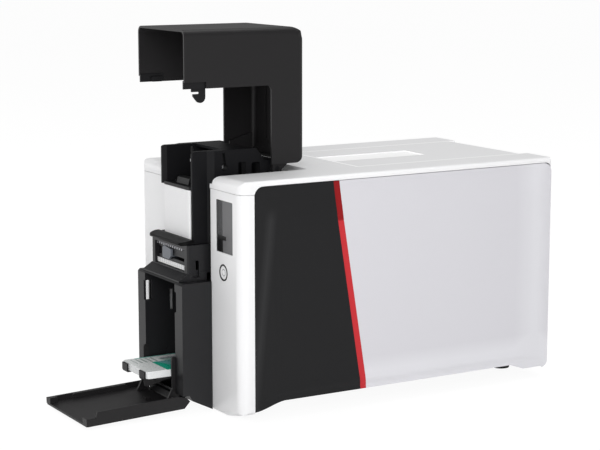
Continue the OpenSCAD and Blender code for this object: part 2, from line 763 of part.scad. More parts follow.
module cover_pins() {
    color([0.6, 0.6, 0.62]) both() rod_x(pin_r, ear_in + 0.1, arm_x[1] - 0.1, cover_pivot);
}

// ---- Middle unit ----

module mid_unit() {
    color([0.2, 0.2, 0.2]) difference() {
        union() {
            along_z(mid_z[0], mid_z[1] - 0.3) polygon(concat(
                arc([-mid_x + 1.5, mid_y + 1.5], 1.5, 180, 270, 3),
                arc([mid_x - 1.5, mid_y + 1.5], 1.5, 270, 360, 3),
                [[mid_x, mid_back], [-mid_x, mid_back]]));
            // sloping plate down to the hopper
            along_x(-mid_x - 0.6, mid_x + 0.6) polygon([[slot_face - 0.2, mid_z[0] + 2],
                [mid_y - 0.2, mid_z[0] + 0.4], [-hopper_out + 1.4, hopper_top + 1.4],
                [-hopper_out + 1.4, hopper_top + 0.2], [slot_face - 0.2, hopper_top + 0.2]]);
        }
        // recess of the face, with its slot and its square socket
        block([-30.6, mid_y - 1, 131.2], [slot_end + 0.5, mid_face, 152.6]);
        block([-30, mid_y - 1, 140], [-22.6, mid_y + 9, 147.4]);
        block([lever_x[0] + 1, mid_y, 139.4], [slot_end, mid_y + 14, 142.6]);
        both() along_x(mid_x - 2.4, mid_x + 1) polygon(round_box([-15.6, 126.5], [-8.4, 142.3],
            [0, 0, 1.5, 1.5]));
        // hollow behind, open to the rear
        block([-mid_x + 2, mid_y + 9.6, mid_z[0] + 3], [mid_x - 2, mid_back + 1, mid_z[1] - 2.4]);
    }
}

// Slider that sets the gap for thick or thin cards
module gauge_lever() {
    color([0.45, 0.46, 0.48]) {
        along_y(mid_y + 0.6, mid_face - 0.3) polygon(concat(
            [[lever_x[0], 138.2]], [[lever_x[1] - 5, 137.8], [lever_x[1] - 1, 141.5]],
            arc([lever_x[1] - 2.5, 146.5], 2, 0, 90, 4), [[lever_x[0] + 3, 149.8],
            [lever_x[0], 147.5]]));
        block([-8, mid_face - 0.4, 139.8], [-2, mid_y + 11, 142.2]);
    }
}

module gauge_scale() {
    color([0.92, 0.92, 0.92]) block([-30.4, mid_y + 2.5, 131.9], [29.8, mid_face, 136.3]);
}

module feed_comb() {
    color([0.7, 0.7, 0.72]) {
        block([-30.4, mid_face - 0.7, 151.4], [28, mid_face, 152.4]);
        for (i = [0:11]) block([-29.4 + i * 4.6, mid_face - 1.6, 149.9],
            [-27.9 + i * 4.6, mid_face, 151.5]);
    }
}

// ---- Output hopper ----

module hopper_side() {
    polygon([[-hopper_out, 18], [-24.5, 18], [-21.5, 12.5], [slot_face, 2],
        [slot_face, hopper_top], [-hopper_out + 2, hopper_top], [-hopper_out, hopper_top - 2]]);
}

module hopper_frame() {
    color([0.22, 0.22, 0.22]) difference() {
        union() {
            along_x(-hopper_x, hopper_x) hopper_side();
            block([-post_x - 2, slot_face - eps, frame_foot + 0.3], [post_x + 2, hopper_back,
                hopper_top - 2]);
            // inner ribs of the posts
            both() block([post_x - 0.8, -28, 60], [post_x + eps, -23, 95]);
        }
        // card bay, open at the front and over its whole depth
        block([-post_x, -hopper_out - 1, 22], [post_x, slot_face + 2, hopper_top - 1.6]);
        block([-post_x, slot_face, 22], [post_x, hopper_back - 2, hopper_top - 4]);
        along_x(-post_x, post_x) polygon([[-hopper_out - 1, 0], [-21, 14.8], [-2.6, 5.4],
            [-2.6, 23], [-hopper_out - 1, 23]]);
        both() block([28.4, -2.7, 19], [post_x, 4, 24]);
        // mouth through which the printed card comes in
        block([-card_w / 2 - 1.5, hopper_back - 4, 108], [card_w / 2 + 1.5, hopper_back + 1, 112]);
        both() {
            // hollow posts, open to the rear
            block([post_x + 2, -hopper_out + 2.4, 30], [hopper_x - 2, slot_face + 1,
                hopper_top - 3]);
            // finger notches at the front and slits in the inner walls
            block([post_x - 1, -hopper_out - 1, 95], [post_x + 2.9, -24, 114]);
            block([post_x - 1, -5, 83], [post_x + 3, -1.4, 103]);
            // bearing of the door pin
            rod_x(door_pin_r + run_gap, post_x - 1, post_x + 5, door_pivot);
        }
        // slot in the outer side of the left post
        block([-hopper_x - 1, -27, 92], [-hopper_x + 3, -20, 113]);
        // stepped grooves on the inner posts
        both() for (z = [44, 38]) block([post_x - eps, -16, z], [post_x + 0.8, -9, z + 3]);
    }
}

// Everything on the door is drawn level and then dropped by the tilt
module door_placed() translate([0, door_pivot[0], door_pivot[1]]) rotate([door_tilt, 0, 0])
    children();

module output_door() {
    color([0.14, 0.14, 0.14]) door_placed() {
        // skin, side lips and tip lip
        along_z(-door_under, -door_under + door_wall) polygon(round_box([-door_x, -door_len],
            [door_x, -1.5], [2, 2, 0.5, 0.5]));
        both() {
            along_x(door_x - door_wall, door_x) polygon([[-door_len, -door_under + door_wall - eps],
                [-door_len, -door_under + 6.5], [-door_len + 9, -door_under + 6.5],
                [-door_len + 11, -door_under + door_deep], [-8, -door_under + door_deep],
                [door_tail - 3, -door_under + 9.5], [door_tail, -door_under + 6],
                [-1.5, -door_under], [-6, -door_under]]);
            // inner ledge beside each lip
            along_x(door_x - door_wall - 3.2, door_x - door_wall + eps) polygon([
                [-door_len + 22, -door_under + door_wall - eps], [-door_len + 26, -door_under + 7],
                [-20, -door_under + 7], [-14, -door_under + door_wall - eps]]);
            // raised corners at the tip
            block([door_x - 9, -door_len, -door_under + 1], [door_x - 0.1, -door_len + 8,
                -door_under + 7.4]);
            // arm up to the pivot and on to the link pin
            along_x(door_arm_x[0], door_arm_x[1]) difference() {
                polygon(concat([[-14, -door_under + door_wall - eps], [-2, -door_under + door_wall
                    - eps], [4, -4], [3.6, 4], [0.6, link_pin[1]]],
                    arc(link_pin, 3, 0, 180), [[-5.2, 20], [-5.4, 0]]));
                circle(r = door_pin_r);
            }
            rod_x(1.2, door_arm_x[0] - 0.6, door_arm_x[0] + eps, link_pin);
        }
        // small roller stub on the floor of the door
        block([-1.4, -21, -door_under + 1], [4.4, -16, -door_under + 4]);
    }
}

module door_pins() {
    color([0.6, 0.6, 0.62]) both() rod_x(door_pin_r, door_arm_x[0] + 0.2, post_x + 4.6, door_pivot);
}

module card_tray() {
    hook = [13, 24];
    color([0.12, 0.12, 0.12]) {
        // floor, narrow at the front where it only carries the two hooks
        difference() {
            block([-tray_x, tray_y + 1.4, tray_z], [tray_x, 12, tray_z + door_wall]);
            along_z(tray_z - 1, tray_z + 4) polygon(round_box([-hook[0], tray_y - 6],
                [hook[0], tray_y + 26], [0, 0, 8, 8]));
            both() along_z(tray_z - 1, tray_z + 4) polygon(round_box([hook[1], tray_y - 6],
                [tray_x + 1, tray_y + 10], [0, 0, 0, 2]));
        }
        both() {
            along_x(hook[0], hook[1]) polygon([[tray_y + 1.6, tray_z + eps],
                [tray_y + 1.6, tray_z + 7.6], [tray_y + 1, tray_z + 8.6], [tray_y, tray_z + 7.8],
                [tray_y, tray_z + 1.6], [tray_y + 0.8, tray_z]]);
            block([tray_x - 1.6, -22, tray_z - 7.6], [tray_x, 12, tray_z + eps]);
        }
        // support rib under the right hook
        along_x(hook[1] - 4, hook[1] - 0.4) polygon([[tray_y + 1, tray_z + eps],
            [tray_y + 1.6, tray_z - 5.4], [tray_y + 4, tray_z - 6], [tray_y + 30, tray_z + eps]]);
        block([-tray_x, 10.4, tray_z - 4], [tray_x, 12, tray_z + eps]);
    }
}

module printed_cards() {
    color([0.85, 0.95, 0.93]) translate([0, tray_y + 1.8, 0])
        along_z(tray_z + door_wall, tray_z + door_wall + printed_h) card_plan();
}

// ---- Print mechanism ----

module frame_side() {
    difference() {
        polygon([[60, frame_foot], [frame_back, frame_foot], [frame_back, 186],
            [frame_back - 16, 188], [frame_back - 28, 204], [150, 204],
            [120, 180], [48, 180], [48, 130], [60, 118]]);
        // weight-saving windows
        for (y = [68, 118, 168, 226]) polygon(round_box([y, 50], [y + 40, 100], [6, 6, 6, 6]));
        // shaft holes
        for (y = [pick_y, feed_y, transport_y, platen_y])
            translate([y, roller_z]) circle(r = shaft_r + run_gap);
        for (y = idler_y) translate([y, roller_z]) circle(r = 2);
        for (y = [feed_y, transport_y]) translate([y, upper_z]) circle(r = 2 + run_gap);
        translate(flip_at) circle(r = 3 + run_gap);
        translate(pinion_at) circle(r = 6);
        // open bearings for the ribbon spools
        for (y = spool_y) translate([y - 4, spool_z - 4]) square([8, 40]);
    }
}

module side_frame() {
    along_x(frame_x[0], frame_x[1]) frame_side();
    block([frame_x[0] - 9, 62, frame_foot], [frame_x[0] + eps, frame_back - 6, frame_foot + 1.6]);
}

module left_side_frame() {
    color([0.7, 0.7, 0.72]) {
        mirror([1, 0, 0]) side_frame();
        for (y = idler_y) rod_x(2, -gear_x - gear_w - 0.4, -frame_x[0], [y, roller_z]);
    }
}

module right_side_frame() color([0.7, 0.7, 0.72]) side_frame();

// Lower guide of the card path, cut out over the rollers
module card_guide() {
    color([0.2, 0.2, 0.2]) difference() {
        union() {
            block([-frame_x[0] + 0.2, 77.2, deck_z - 2], [frame_x[0] - 0.2, guide_back, deck_z - 0.4]);
            both() block([frame_x[0] - 1.8, 77.2, deck_z - 8], [frame_x[0] - 0.2, guide_back, deck_z - 1]);
        }
        for (y = [feed_y, transport_y, platen_y]) {
            block([-rubber_x - 2, y - roller_r - 1, deck_z - 9], [rubber_x + 2, y + roller_r + 1,
                deck_z]);
            both() block([rubber_x, y - shaft_r - 0.6, deck_z - 12], [frame_x[0] + 1,
                y + shaft_r + 0.6, deck_z - 3.2]);
        }
    }
}

module roller(y, z, r, core, x_half, ends) {
    rod_x(core, -ends[0], ends[1], [y, z]);
    rod_x(r, -x_half, x_half, [y, z]);
}

module drive_roller(y, x_half) roller(y, roller_z, roller_r - 0.1, shaft_r, x_half,
    [shaft_end, frame_x[1] + 1.2]);

module pick_roller() {
    color([0.2, 0.2, 0.22]) {
        rod_x(shaft_r, -shaft_end, frame_x[1] + 1.2, [pick_y, roller_z]);
        rod_x(roller_r - 0.1, -16, -3, [pick_y, roller_z]);
        rod_x(roller_r - 0.1, 3, 16, [pick_y, roller_z]);
    }
}
module feed_roller() color([0.2, 0.2, 0.22]) drive_roller(feed_y, rubber_x);
module transport_roller() color([0.2, 0.2, 0.22]) drive_roller(transport_y, rubber_x);
module platen_roller() color([0.1, 0.1, 0.11]) drive_roller(platen_y, rubber_x);
module cleaning_roller() color([0.5, 0.7, 0.9])
    roller(feed_y, upper_z, upper_r, 2, rubber_x, [frame_x[1] + 0.5, frame_x[1] + 0.5]);
module pinch_roller() color([0.25, 0.25, 0.27])
    roller(transport_y, upper_z, upper_r, 2, rubber_x, [frame_x[1] + 0.5, frame_x[1] + 0.5]);

// Spur gear outline: teeth with straight flanks, slimmer than the gaps
module gear_outline(teeth, turn) {
    pr = gear_m * teeth / 2;
    step = 360 / teeth;
    tip = pr + 0.85 * gear_m;
    root = pr - 1.15 * gear_m;
    polygon([for (i = [0:teeth - 1]) for (k = [[-0.34, root], [-0.235, pr], [-0.11, tip],
        [0.11, tip], [0.235, pr], [0.34, root]])
        k[1] * [cos(turn + (i + k[0]) * step), sin(turn + (i + k[0]) * step)]]);
}

// Gear on the left frame; turn is the angle of its first tooth
module left_gear(at, teeth, turn, bore, hub) {
    translate([-gear_x - gear_w, at[0], at[1]]) rotate([90, 0, 90]) {
        linear_extrude(gear_w) difference() {
            gear_outline(teeth, turn);
            circle(r = bore);
            if (teeth > 24) for (a = [0:60:300]) rotate(a) translate([9, 0]) circle(r = 2.4);
        }
        translate([0, 0, -hub]) linear_extrude(hub + eps) difference() {
            circle(r = bore + 1.8);
            circle(r = bore);
        }
    }
}

roller_turn = 0;
idler_turn = 180 / idler_teeth;
pinion_turn = 90 + 180 / pinion_teeth;
module roller_gear(y) color([0.9, 0.88, 0.8])
    left_gear([y, roller_z], roller_teeth, roller_turn, shaft_r + 0.02, 0.4);
module idler_gear(y) color([0.85, 0.85, 0.8])
    left_gear([y, roller_z], idler_teeth, idler_turn, 2 + run_gap, 0.3);
module pick_gear() roller_gear(pick_y);
module feed_gear() roller_gear(feed_y);
module transport_gear() roller_gear(transport_y);
module platen_gear() roller_gear(platen_y);
module front_idler() idler_gear(idler_y[0]);
module middle_idler() idler_gear(idler_y[1]);
module rear_idler() idler_gear(idler_y[2]);
module motor_pinion() color([0.8, 0.7, 0.4])
    left_gear(pinion_at, pinion_teeth, pinion_turn, 2.52, 0.4);

// Stepping motor on the inner face of the left frame
module drive_motor() {
    s = 16;
    color([0.3, 0.3, 0.32]) difference() {
        union() {
            for (x = [-frame_x[0], -frame_x[0] + 20]) along_x(x, x + 8)
                polygon(round_box(pinion_at - [s, s], pinion_at + [s, s], [3, 3, 3, 3]));
            along_x(-frame_x[0] + 7.9, -frame_x[0] + 20.1)
                polygon(round_box(pinion_at - [s - 1, s - 1], pinion_at + [s - 1, s - 1],
                    [5, 5, 5, 5]));
            rod_x(5.6, -frame_x[1] + 0.2, -frame_x[0] + 1, pinion_at);
            rod_x(2.5, -gear_x - gear_w - 0.3, -frame_x[0] + 1, pinion_at);
        }
        for (dy = [-12, 12], dz = [-12, 12])
            rod_x(1.5, -frame_x[0] - 1, -frame_x[0] + 4, pinion_at + [dy, dz]);
    }
}

// ---- Ribbon ----

module cassette_side() difference() {
    polygon(concat(arc([spool_y[0], spool_z], 13, 90, 270, 8),
        [[platen_y - 14, spool_z - 13], [platen_y - 14, spool_z - 4], [platen_y + 14, spool_z - 4],
        [platen_y + 14, spool_z - 18]], arc([spool_y[1], spool_z], 18, 270, 450, 10),
        [[platen_y, spool_z + 14]]));
    for (y = spool_y) translate([y, spool_z]) circle(r = spool_pin + run_gap);
}

module ribbon_cassette() {
    color([0.3, 0.45, 0.75]) {
        both() along_x(33.6, 35.6) cassette_side();
        // lugs that hang in the open slots of the frames
        both() for (y = spool_y) along_x(35.6 - eps, frame_x[1] - 0.2) translate([y, spool_z])
            difference() {
                circle(r = 3.8);
                circle(r = spool_pin + run_gap);
            }
        block([-33.7, spool_y[0] - 3, spool_z + 11.5], [33.7, spool_y[0] + 3, spool_z + 12.8]);
        block([-33.7, spool_y[1] + 15.6, spool_z - 6], [33.7, spool_y[1] + 17.4, spool_z + 6]);
    }
}

module spool(y, r) {
    rod_x(spool_pin, -39, 39, [y, spool_z]);
    rod_x(spool_core, -32.8, 32.8, [y, spool_z]);
    rod_x(r, -30, 30, [y, spool_z]);
    both() rod_x(r + 1.2, 31.4, 32.8, [y, spool_z]);
}

module takeup_spool() color([0.2, 0.2, 0.25]) spool(spool_y[0], ribbon_r[0]);
module supply_spool() color([0.15, 0.15, 0.2]) spool(spool_y[1], ribbon_r[1] - 1);

// ---- Hood ----

module hood_cover() {
    color([0.93, 0.93, 0.93]) difference() {
        union() {
            // plate with a drop edge, and a tail round the hinge
            along_x(-hood_x, hood_x) polygon(concat([[hood_y, body_h - 5], [hood_y, body_h]],
                arc([hood_back - 6, body_h - 6], 6, 90, 0), [[hood_back, body_h - 26],
                [hood_back - wall, body_h - 26], [hood_back - wall, body_h - 7]],
                [[hood_back - wall - 5, body_h - wall], [hood_y + wall, body_h - wall],
                [hood_y + wall, body_h - 5]]));
            both() along_x(hood_x - wall, hood_x) polygon([[hood_y, body_h - 5], [hood_y, body_h - 1],
                [hood_back - 6, body_h - 1], [hood_back - 1, body_h - 8], [hood_back - 1, body_h - 20],
                [hood_pivot[0] - 8, body_h - 20], [hood_pivot[0] - 12, body_h - 5]]);
            both() rod_x(5, hood_x - 6, hood_x, hood_pivot);
            // carrier of the print head
            both() along_x(31, 33) polygon([[platen_y - 12, body_h - 2], [platen_y + 12, body_h - 2],
                [platen_y + 8, deck_z + 14], [platen_y - 8, deck_z + 14]]);
            for (x = [-48, 48]) along_x(x - 0.8, x + 0.8) polygon([[hood_y + 2, body_h - 5],
                [hood_y + 2, body_h - 2], [320, body_h - 2], [318, body_h - 5]]);
        }
        both() rod_x(hood_pin_r + run_gap, hood_x - 7, hood_x + 1, hood_pivot);
        // shallow inlay in the middle of the top
        along_z(body_h - 0.6, body_h + 1) polygon(round_box([-18, hood_y - 1], [18, 256],
            [0, 0, 2, 2]));
    }
}

module print_head() {
    color([0.55, 0.56, 0.58]) {
        block([-30.7, platen_y - 7, deck_z + 8], [30.7, platen_y + 7, deck_z + 18]);
        along_x(-29, 29) polygon([[platen_y - 6, deck_z + 8 + eps], [platen_y - 2.5, deck_z + 1.6],
            [platen_y - 1, deck_z + 1.1], [platen_y + 1, deck_z + 1.1],
            [platen_y + 6, deck_z + 8 + eps]]);
        for (y = [-5:2:5]) block([-28, platen_y + y - 0.5, deck_z + 18 - eps],
            [28, platen_y + y + 0.5, deck_z + 24]);
    }
}

// Turning station that flips the card over
module card_flipper() {
    h = flip_len / 2;
    color([0.25, 0.25, 0.27]) translate([0, flip_at[0], flip_at[1]]) {
        both() {
            along_x(29, 31) polygon(concat(arc([-h + 9, 0], 9, 90, 270), arc([h - 9, 0], 9, -90, 90)));
            rod_x(3, 31 - eps, frame_x[1] + 0.8, [0, 0]);
            rod_x(9, 31 - eps, 32.4, [0, 0]);
        }
        for (s = [-1, 1]) {
            along_x(-29.1, 29.1) polygon([[-h + 12, s * 2.2], [h - 12, s * 2.2], [h - 5, s * 4.8],
                [h - 5, s * 6], [h - 12, s * 3.6], [-h + 12, s * 3.6], [-h + 5, s * 6],
                [-h + 5, s * 4.8]]);
            rod_x(2.6, -29.1, 29.1, [-16, s * 5.4]);
            rod_x(2.6, -29.1, 29.1, [16, s * 5.4]);
        }
    }
}

// ---- Electronics ----

module main_board() {
    color([0.1, 0.35, 0.2]) {
        block([-38.4, 190, board_z + 0.1], [38.4, board_back, board_z + 1.7]);
        for (y = [200:14:256]) block([-30, y, board_z + 1.6], [-8, y + 9, board_z + 12]);
        block([4, 200, board_z + 1.6], [26, 222, board_z + 4.4]);
        for (x = [8, 21], y = [240, 254]) rod_z(5, board_z + 1.6, board_z + 15, x, y);
        block([-37, 200, board_z + 1.6], [-33, 250, board_z + 9]);
        block([31, 196, board_z + 1.6], [36, 240, board_z + 9]);
    }
}

module rear_ports() {
    front = rear_in - 13;
    color([0.35, 0.35, 0.37]) {
        difference() {
            union() {
                block([inlet_x - 5, front, board_z + 1.8], [inlet_x + 5, rear_in - 0.4, board_z + 13]);
                rod_y(5, rear_in - 1, body_d - 0.6, inlet_x, board_z + 8);
            }
            rod_y(3.4, rear_in - 8, body_d + 1, inlet_x, board_z + 8);
        }
        rod_y(1, rear_in - 9, body_d - 1.6, inlet_x, board_z + 8);
        difference() {
            block([-18.8, front, board_z + 1.8], [-5.2, body_d - 0.8, board_z + 14.2]);
            block([-16.4, rear_in - 9, board_z + 4], [-7.6, body_d + 1, board_z + 11.6]);
        }
        block([-14.6, rear_in - 10, board_z + 6.4], [-9.4, body_d - 2, board_z + 9.2]);
        difference() {
            block([4.8, front, board_z + 1.8], [21.2, body_d - 0.8, board_z + 15.6]);
            block([7, rear_in - 9, board_z + 3.4], [19, body_d + 1, board_z + 11.4]);
            block([9.8, rear_in - 9, board_z + 11], [16.2, body_d + 1, board_z + 13.6]);
        }
    }
}

module fan_frame() {
    color([0.15, 0.15, 0.16]) {
        along_y(fan_y[0], fan_y[1]) difference() {
            translate(fan_at) polygon(round_box([-20, -20], [20, 20], [3, 3, 3, 3]));
            translate(fan_at) circle(r = fan_r + 1.4);
            for (dx = [-16, 16], dz = [-16, 16]) translate(fan_at + [dx, dz]) circle(r = 1.8);
        }
        // spokes, hub and axle
        along_y(fan_y[1] - 1.6, fan_y[1]) translate(fan_at) {
            circle(r = 7);
            for (a = [45, 165, 285]) rotate(a) translate([0, -1]) square([fan_r + 2, 2]);
        }
        rod_y(1.5, fan_y[0] + 0.5, fan_y[1] - 1.5, fan_at[0], fan_at[1]);
    }
}

module fan_rotor() {
    front = fan_y[0] + 0.6;
    color([0.1, 0.1, 0.1]) translate([fan_at[0], 0, fan_at[1]]) difference() {
        union() {
            rod_y(7, front, fan_y[1] - 2, 0, 0);
            for (a = [0:51.43:308]) rotate([0, a, 0]) translate([6.5, front + 1.2, -2.5])
                rotate([-40, 0, 0]) cube([fan_r - 7, 1, 7.4]);
        }
        rod_y(1.5 + run_gap, front - 1, fan_y[1], 0, 0);
    }
}

placed() base_pan();
placed() feet();
placed() front_cover();
placed() top_shell();
placed() rear_cover();
placed() right_panel_dark();
placed() right_stripe();
placed() right_panel_light();
placed() left_panel_dark();
placed() left_stripe();
placed() left_panel_light();
placed() window_lens();
placed() window_tab();
placed() power_button();
placed() button_ring();
placed() hood_button();
placed() centre_frame();
placed() feeder_frame();
placed() blank_cards();
placed() card_weight();
placed() feeder_cover();
placed() cover_catch();
placed() cover_pins();
placed() mid_unit();
placed() gauge_lever();
placed() gauge_scale();
placed() feed_comb();
placed() hopper_frame();
placed() output_door();
placed() door_pins();
placed() card_tray();
placed() printed_cards();
placed() left_side_frame();
placed() right_side_frame();
placed() card_guide();
placed() pick_roller();
placed() feed_roller();
placed() transport_roller();
placed() platen_roller();
placed() cleaning_roller();
placed() pinch_roller();
placed() pick_gear();
placed() feed_gear();
placed() transport_gear();
placed() platen_gear();
placed() front_idler();
placed() middle_idler();
placed() rear_idler();
placed() motor_pinion();
placed() drive_motor();
placed() ribbon_cassette();
placed() supply_spool();
placed() takeup_spool();
placed() hood_cover();
placed() print_head();
placed() card_flipper();
placed() main_board();
placed() rear_ports();
placed() fan_frame();
placed() fan_rotor();
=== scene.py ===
"""Looks of a desktop card printer with an open feeder cover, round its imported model."""
import json
import math

import bmesh
import bpy
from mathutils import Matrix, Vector

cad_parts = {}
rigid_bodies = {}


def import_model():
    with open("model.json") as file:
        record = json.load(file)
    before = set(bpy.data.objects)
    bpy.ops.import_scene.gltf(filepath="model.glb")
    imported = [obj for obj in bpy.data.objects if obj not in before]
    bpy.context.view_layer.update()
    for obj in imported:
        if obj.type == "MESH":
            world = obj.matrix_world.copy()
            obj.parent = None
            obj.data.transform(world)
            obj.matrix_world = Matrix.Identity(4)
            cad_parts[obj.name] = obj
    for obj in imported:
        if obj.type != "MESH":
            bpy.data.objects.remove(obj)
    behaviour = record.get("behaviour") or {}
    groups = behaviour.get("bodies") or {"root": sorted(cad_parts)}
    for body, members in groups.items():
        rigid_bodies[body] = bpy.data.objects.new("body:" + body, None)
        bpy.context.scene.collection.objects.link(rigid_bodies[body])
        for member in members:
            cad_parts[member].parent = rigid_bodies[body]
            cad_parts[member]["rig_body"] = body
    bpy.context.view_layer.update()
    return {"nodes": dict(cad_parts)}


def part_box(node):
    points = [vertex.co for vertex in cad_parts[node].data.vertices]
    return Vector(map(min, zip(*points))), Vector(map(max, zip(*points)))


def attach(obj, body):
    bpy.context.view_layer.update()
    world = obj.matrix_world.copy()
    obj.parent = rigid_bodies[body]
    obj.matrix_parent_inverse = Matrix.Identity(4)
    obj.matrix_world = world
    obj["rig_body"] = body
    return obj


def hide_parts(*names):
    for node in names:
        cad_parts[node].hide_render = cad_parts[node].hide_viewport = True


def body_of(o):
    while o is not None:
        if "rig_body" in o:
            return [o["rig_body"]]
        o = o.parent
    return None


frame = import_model()

# Sizes are in metres. FRONT is the Y of the front face of the two white columns.
MM = 0.001
NODES = frame["nodes"]
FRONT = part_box("front_cover")[0][1]

# Colours are sRGB, from 0 to 255.
WHITE = (243, 243, 244)
BRIGHT = (255, 255, 255)
UNLIT = (0, 0, 0)


def linear(colour):
    """The linear colour of an sRGB one, with full alpha."""
    tones = [tone / 255 for tone in colour]
    return (*[tone / 12.92 if tone <= 0.04045 else ((tone + 0.055) / 1.055) ** 2.4
              for tone in tones], 1.0)


# ---- Shader maths ----

class Value:
    """An output in a node tree. Arithmetic on it adds Math nodes."""

    def __init__(self, nodes, socket):
        self.nodes = nodes
        self.socket = socket

    def _math(self, operation, first, second=None):
        values = {0: first} if second is None else {0: first, 1: second}
        return self.nodes.add("ShaderNodeMath", {"operation": operation}, values)

    def __add__(self, other):
        return self._math("ADD", self, other)

    def __radd__(self, other):
        return self._math("ADD", other, self)

    def __sub__(self, other):
        return self._math("SUBTRACT", self, other)

    def __rsub__(self, other):
        return self._math("SUBTRACT", other, self)

    def __mul__(self, other):
        return self._math("MULTIPLY", self, other)

    def __rmul__(self, other):
        return self._math("MULTIPLY", other, self)

    def __truediv__(self, other):
        return self._math("DIVIDE", self, other)

    def __gt__(self, other):
        return self._math("GREATER_THAN", self, other)

    def __lt__(self, other):
        return self._math("LESS_THAN", self, other)

    def part(self):
        """Fraction left above the next lower whole number."""
        return self._math("FRACT", self)

    def size(self):
        return self._math("ABSOLUTE", self)

    def root(self):
        return self._math("SQRT", self)

    def larger(self, other):
        return self._math("MAXIMUM", self, other)

    def limit(self):
        """Held between 0 and 1."""
        return self._math("MINIMUM", self, 1.0).larger(0.0)

    def ramp(self, start, end):
        """Runs from 0 at start to 1 at end, and is held there on both sides."""
        return ((self - start) / (end - start)).limit()

    def between(self, low, high):
        return (self > low) * (self < high)

    def near(self, place, reach):
        return (self - place).size() < reach


class Nodes:
    """A node tree, with one way to add a node to it."""

    def __init__(self, tree):
        self.tree = tree

    def add(self, kind, settings=None, inputs=None, output=0):
        """Adds a node: its settings first, then the values or links of its inputs."""
        made = self.tree.nodes.new(kind)
        for key, value in (settings or {}).items():
            setattr(made, key, value)
        for key, value in (inputs or {}).items():
            self.feed(made.inputs[key], value)
        return Value(self, made.outputs[output])

    def feed(self, socket, value):
        if isinstance(value, Value):
            self.tree.links.new(value.socket, socket)
        else:
            socket.default_value = value

    def ray(self, kind):
        """1 for the rays of that kind, 0 for the others."""
        return self.add("ShaderNodeLightPath", output=kind)


class Finish(Nodes):
    """A named surface finish built on one Principled shader."""

    def __init__(self, name, colour, roughness=0.4, metallic=0.0, coat=0.0, gloss=0.5):
        self.material = bpy.data.materials.new(name)
        self.material.use_nodes = True
        super().__init__(self.material.node_tree)
        self.shader = self.tree.nodes["Principled BSDF"]
        self.set("Base Color", linear(colour))
        self.set("Roughness", roughness)
        self.set("Metallic", metallic)
        self.set("Coat Weight", coat)
        self.set("Specular IOR Level", gloss)

    def set(self, name, value):
        self.feed(self.shader.inputs[name], value)

    def point(self):
        return self.add("ShaderNodeTexCoord", output="Object")

    def place(self):
        """Coordinates on the piece, in metres, as three values X, Y, Z."""
        split = self.add("ShaderNodeSeparateXYZ", inputs={0: self.point()})
        return [Value(self, socket) for socket in split.socket.node.outputs]

    def noise(self, scale):
        return self.add("ShaderNodeTexNoise", inputs={"Vector": self.point(), "Scale": scale})

    def mix(self, amount, first, second):
        """Colour between first and second. Inputs 6 and 7 of a Mix node are its colours."""
        first, second = [colour if isinstance(colour, Value) else linear(colour)
                         for colour in (first, second)]
        return self.add("ShaderNodeMix", {"data_type": "RGBA"},
                        {0: amount, 6: first, 7: second}, output=2)

    def paint(self, amount, first, second):
        """Base colour between first and second."""
        self.set("Base Color", self.mix(amount, first, second))

    def bump(self, height, depth):
        self.set("Normal", self.add("ShaderNodeBump", {}, {"Distance": depth, "Height": height}))

    def roughen(self, amount, low, high):
        self.set("Roughness", amount * (high - low) + low)

    def grain(self, scale, depth, low, high):
        """Fine moulded texture: a bump and a roughness that varies with it."""
        fine = self.noise(scale)
        self.bump(fine, depth)
        self.roughen(fine, low, high)


# ---- White mouldings ----

def glossy_white(name):
    """White moulding with a soft gloss."""
    finish = Finish(name, WHITE, coat=0.2, gloss=0.4)
    finish.set("Coat Roughness", 0.25)
    finish.grain(scale=1400, depth=0.03 * MM, low=0.3, high=0.42)
    return finish


def hood_white():
    """The same white, with a painted highlight and a faint painted glow along the seam of the hood and
    in its finger recess.
    """
    seam, side_seam, seam_start, painted_highlight_glow = 1.2 * MM, 0.9 * MM, 1.0 * MM, 0.13
    recess_half, recess_back = 18 * MM, FRONT + 256.5 * MM
    finish = glossy_white("hood_white")
    x, y, z = finish.place()
    low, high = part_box("hood_cover")
    top = z > high[2] - seam
    side = x.size().near(high[0], side_seam) * (y > low[1] - seam_start)
    front = y.near(low[1], seam) * (x.size() < high[0])
    recess = (x.size() < recess_half) * y.between(low[1], recess_back)
    # Painted highlight: the seam and the finger recess are painted pure white and given a faint glow.
    lit = (top * (side + front + recess)).limit()
    finish.paint(lit, WHITE, BRIGHT)
    finish.set("Emission Color", finish.mix(lit, UNLIT, BRIGHT))
    finish.set("Emission Strength", painted_highlight_glow)
    return finish


def power_white():
    """White key with a fine grey ring round its dimple."""
    ring_inner, ring_outer, ring_depth = 2.6 * MM, 3.4 * MM, 0.6 * MM
    finish = Finish("power_white", WHITE, gloss=0.4)
    x, y, z = finish.place()
    low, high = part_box("power_button")
    across, rise = x - (low[0] + high[0]) / 2, z - (low[2] + high[2]) / 2
    reach = (across * across + rise * rise).root()
    ring = reach.between(ring_inner, ring_outer) * (y < low[1] + ring_depth)
    finish.paint(ring * 0.8, WHITE, (120, 122, 126))
    finish.roughen(finish.noise(900), low=0.3, high=0.4)
    return finish


# ---- Side panels and stripe ----

def light_panel():
    """Pale panel with painted highlight bands near the back and along the lower edge, where its face
    turns in.
    """
    pale, painted_highlight_tone = (217, 216, 221), (235, 235, 239)
    band_start, band_full = FRONT + 308 * MM, FRONT + 330 * MM
    band_fade, band_end = FRONT + 336 * MM, FRONT + 352 * MM
    edge_full, edge_end = 33 * MM, 47 * MM
    finish = Finish("light_panel", pale, gloss=0.3)
    _, y, z = finish.place()
    # Painted highlight: bands near the back and along the lower edge are painted a lighter tone.
    back = y.ramp(band_start, band_full) * y.ramp(band_end, band_fade)
    low = z.ramp(edge_end, edge_full)
    finish.paint((back + low).limit() * 0.6, pale, painted_highlight_tone)
    finish.grain(scale=1100, depth=0.04 * MM, low=0.42, high=0.55)
    return finish


